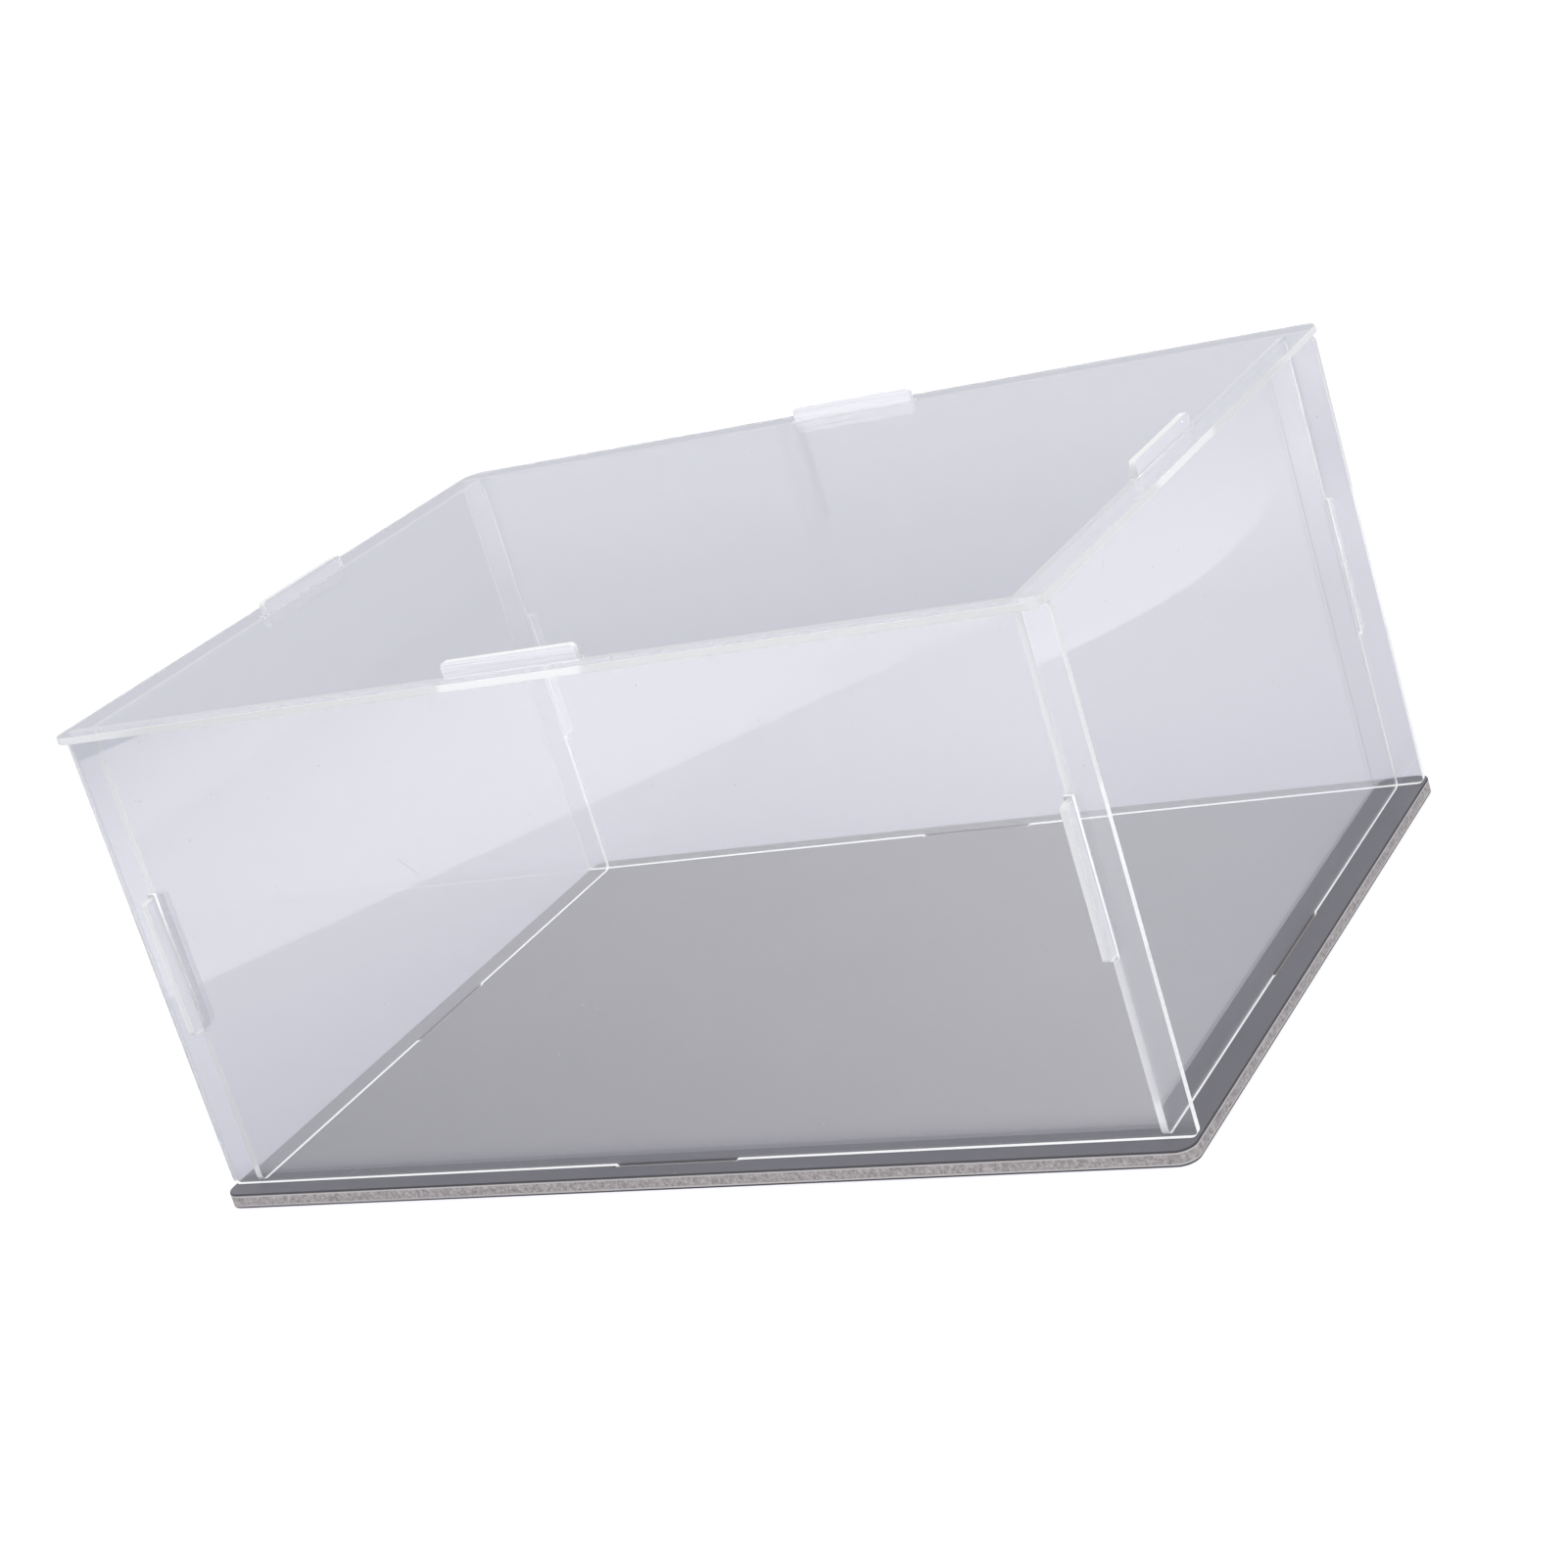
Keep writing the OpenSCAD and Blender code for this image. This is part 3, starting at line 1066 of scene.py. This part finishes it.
class CASE_OT_studio(bpy.types.Operator):
    """Lays the pale floor and hangs the soft studio light"""

    bl_idname = "display_case.studio"
    bl_label = "Studio"

    def execute(self, context):
        studio = context.scene.case_studio
        self.lay_floor(studio)
        self.light_world(context.scene, studio)
        self.hang_softbox(context.scene, studio)
        context.scene.view_settings.view_transform = "Standard"
        return {"FINISHED"}

    def lay_floor(self, studio):
        """A flat pale disc under the case: white to the camera but for the case's shadow."""
        mesh = bpy.data.meshes.new("floor")
        around = np.linspace(0, math.tau, FLOOR_SIDES + 1)[:-1]
        rim = np.stack([np.cos(around), np.sin(around), 0 * around], axis=1)
        mesh.from_pydata((rim * studio.floor_r).tolist(), [], [list(range(FLOOR_SIDES))])
        floor = bpy.data.objects.new("floor", mesh)
        bpy.context.scene.collection.objects.link(floor)
        material, tree = new_material("floor_paper_pale")
        paper = add_node(tree, "BsdfDiffuse", {"Color": linear_colour(studio.paper)})
        path = add_node(tree, "LightPath")
        place = add_node(tree, "TexCoord").outputs["Object"]
        split = add_node(tree, "SeparateXYZ", {"Vector": place})
        x, y = split.outputs["X"], split.outputs["Y"]
        # Painted light for glossy rays: the fields that the sheets mirror are painted into the floor's glow
        bright = past_edge(
            tree,
            path.outputs["Glossy Depth"],
            STRAIGHT_BOUNCES,
            COUNT_SOFT,
            self.painted_paleness_behind(tree, x, y, studio),
            self.painted_light_around(tree, x, y, studio),
        )
        mirrored = path.outputs["Is Glossy Ray"]
        bright = add_node(tree, "Math", (mirrored, bright), operation="MULTIPLY")
        seen = path.outputs["Is Camera Ray"]
        lift = add_node(tree, "Math", (seen, studio.floor_lift, bright), operation="MULTIPLY_ADD")
        white = add_node(tree, "Emission", {"Color": linear_colour(WHITE), "Strength": lift})
        shown = add_node(tree, "AddShader", (paper, white))
        add_node(tree, "OutputMaterial", {"Surface": shown})
        mesh.materials.append(material)

    def painted_paleness_behind(self, tree, x, y, studio):
        """Painted light: how much paler the floor is painted where the eye meets it through the back
        sheet's end alone.
        """
        aside = self.sloping(tree, x, y, 0.0, BEHIND_LINE)
        shares = past_edge(tree, y, PALE_CHANGE, PALE_CHANGE_SOFT, *PALE_SHARES)
        level = add_node(tree, "Math", (shares, studio.floor_behind), operation="MULTIPLY")
        return past_edge(tree, aside, 0.0, LINE_SOFT, 0.0, level)

    def painted_light_around(self, tree, x, y, studio):
        """Painted light: how much brighter than the paper behind the case the floor around it is painted,
        as the sheets mirror it.

        In front there is a painted pool of light on the floor up to the straight edge of a painted
        bright patch, brighter still, and painted shade beyond the patch. On the right there is painted
        light on the floor beside the case, up to the bowed edge of a second painted patch. The back
        sheet, which is seen through another sheet, mirrors the front as a painted ramp that starts at the
        case.
        """
        front = self.sloping(tree, x, y, studio.floor_front, FLOOR_FRONT)
        shaded = add_node(tree, "Math", (front, studio.strip_shade), operation="SUBTRACT")
        strip = self.sloping(tree, x, y, 0.0, STRIP_LINE)
        front = past_edge(tree, strip, 0.0, PAINTED_EDGE_SOFT, front, shaded)
        patch = self.sloping(tree, x, y, studio.painted_patch_front, PAINTED_PATCH_FRONT)
        darker = add_node(tree, "Math", (patch, studio.beyond_painted_patch), operation="SUBTRACT")
        across = self.sloping(tree, x, y, 0.0, PATCH_WAY)
        patch = past_edge(tree, across, PATCH_FAR_EDGE, PAINTED_EDGE_SOFT, patch, darker)
        front = past_edge(tree, across, PATCH_NEAR_EDGE, PAINTED_EDGE_SOFT, front, patch)
        ahead = add_node(tree, "Math", (y, -1.0), operation="MULTIPLY")
        ramp = add_node(
            tree,
            "MapRange",
            {"Value": ahead, "From Min": RAMP[0], "From Max": RAMP[1], "To Max": studio.floor_deep},
        )
        faces = add_node(tree, "LightPath").outputs["Transmission Depth"]
        front = past_edge(tree, faces, OUTER_FACES, COUNT_SOFT, front, ramp)
        front = add_node(tree, "Math", (front, studio.front_most), operation="MINIMUM")
        right = self.sloping(tree, x, y, studio.floor_right, FLOOR_RIGHT)
        patch = self.sloping(tree, x, y, studio.painted_patch_right, PAINTED_PATCH_RIGHT)
        bowed = self.bowed(tree, x, y)
        right = past_edge(tree, bowed, PATCH_RIGHT_EDGE, PAINTED_EDGE_SOFT, right, patch)
        right = add_node(tree, "Math", (right, studio.right_most), operation="MINIMUM")
        right = past_edge(tree, x, RIGHT_START, LINE_SOFT, 0.0, right)
        around = past_edge(tree, ahead, FRONT_START, FRONT_START_SOFT, right, front)
        return add_node(tree, "Math", (around, 0.0), operation="MAXIMUM")

    def bowed(self, tree, x, y):
        """x less the bow of the edge of the painted patch on the right, at y."""
        before, beyond = (
            add_node(
                tree,
                "Math",
                (add_node(tree, "Math", (y, end), operation="SUBTRACT"), 0.0),
                operation=limit,
            )
            for end, limit in zip(BOW_STRETCH, ("MINIMUM", "MAXIMUM"))
        )
        square = add_node(tree, "Math", (before, before), operation="MULTIPLY")
        slanted = add_node(tree, "Math", (beyond, BOW_SLANT, x), operation="MULTIPLY_ADD")
        return add_node(tree, "Math", (square, BOW_BEND, slanted), operation="MULTIPLY_ADD")

    def sloping(self, tree, x, y, level, slope):
        """level + rise * distance + bend * distance squared, along x and y from the slope's place."""
        total = level
        for value, start, rise, bend in zip((x, y), *slope):
            distance = add_node(tree, "Math", (value, start), operation="SUBTRACT")
            total = add_node(tree, "Math", (distance, rise, total), operation="MULTIPLY_ADD")
            if bend:
                square = add_node(tree, "Math", (distance, distance), operation="MULTIPLY")
                total = add_node(tree, "Math", (square, bend, total), operation="MULTIPLY_ADD")
        return total

    def light_world(self, scene, studio):
        """White to the camera. To all else a backdrop of the studio's tone, paler overhead."""
        world = bpy.data.worlds.new("studio")
        world.use_nodes = True
        tree = world.node_tree
        tree.nodes.clear()
        white = linear_colour(WHITE)
        direction = add_node(tree, "TexCoord").outputs["Generated"]
        height = add_node(tree, "SeparateXYZ", {"Vector": direction}).outputs["Z"]
        backdrop = linear_colour(studio.backdrop)
        surround = past_edge(tree, height, OVERHEAD, OVERHEAD_SOFT, backdrop, white, "RGBA")
        camera = add_node(tree, "LightPath").outputs["Is Camera Ray"]
        tones = {"Factor": camera, "A": surround, "B": white}
        shown = add_node(tree, "Mix", tones, data_type="RGBA")
        light = add_node(tree, "Background", {"Color": shown})
        add_node(tree, "OutputWorld", {"Surface": light})
        scene.world = world

    def hang_softbox(self, scene, studio):
        """One wide softbox overhead, a little to the front and right, turned to the case."""
        lamp = bpy.data.lights.new("softbox", "AREA")
        lamp.shape = "RECTANGLE"
        lamp.size = studio.softbox_w
        lamp.size_y = studio.softbox_w
        lamp.energy = studio.softbox_power
        holder = bpy.data.objects.new("softbox", lamp)
        holder.location = studio.softbox_place
        holder.rotation_euler = Vector(studio.softbox_place).to_track_quat("Z", "Y").to_euler()
        scene.collection.objects.link(holder)


class CASE_PT_sidebar(bpy.types.Panel):
    """Lists the steps and their sizes"""

    bl_idname = "CASE_PT_sidebar"
    bl_label = "Display case"
    bl_space_type = "VIEW_3D"
    bl_region_type = "UI"
    bl_category = "Display case"

    def draw(self, context):
        for settings in SETTINGS:
            box = self.layout.box()
            group = getattr(context.scene, settings)
            for name in group.bl_rna.properties.keys():
                if name not in ("rna_type", "name"):
                    box.prop(group, name)
        for operator in OPERATORS:
            self.layout.operator(operator.bl_idname)


SETTINGS = {
    "case_sheet": CaseSheetSettings,
    "case_acrylic": CaseAcrylicSettings,
    "case_board": CaseBoardSettings,
    "case_studio": CaseStudioSettings,
}
OPERATORS = [CASE_OT_camera, CASE_OT_base, CASE_OT_walls, CASE_OT_top, CASE_OT_studio]


def register():
    for group in SETTINGS.values():
        bpy.utils.register_class(group)
    for name, group in SETTINGS.items():
        setattr(bpy.types.Scene, name, bpy.props.PointerProperty(type=group))
    for shown in OPERATORS + [CASE_PT_sidebar]:
        bpy.utils.register_class(shown)


def unregister():
    for shown in reversed(OPERATORS + [CASE_PT_sidebar]):
        bpy.utils.unregister_class(shown)
    for name, group in SETTINGS.items():
        delattr(bpy.types.Scene, name)
        bpy.utils.unregister_class(group)


def main():
    register()
    bpy.ops.display_case.camera()
    bpy.ops.display_case.base()
    bpy.ops.display_case.walls()
    bpy.ops.display_case.top()
    bpy.ops.display_case.studio()


if __name__ == "__main__":
    main()
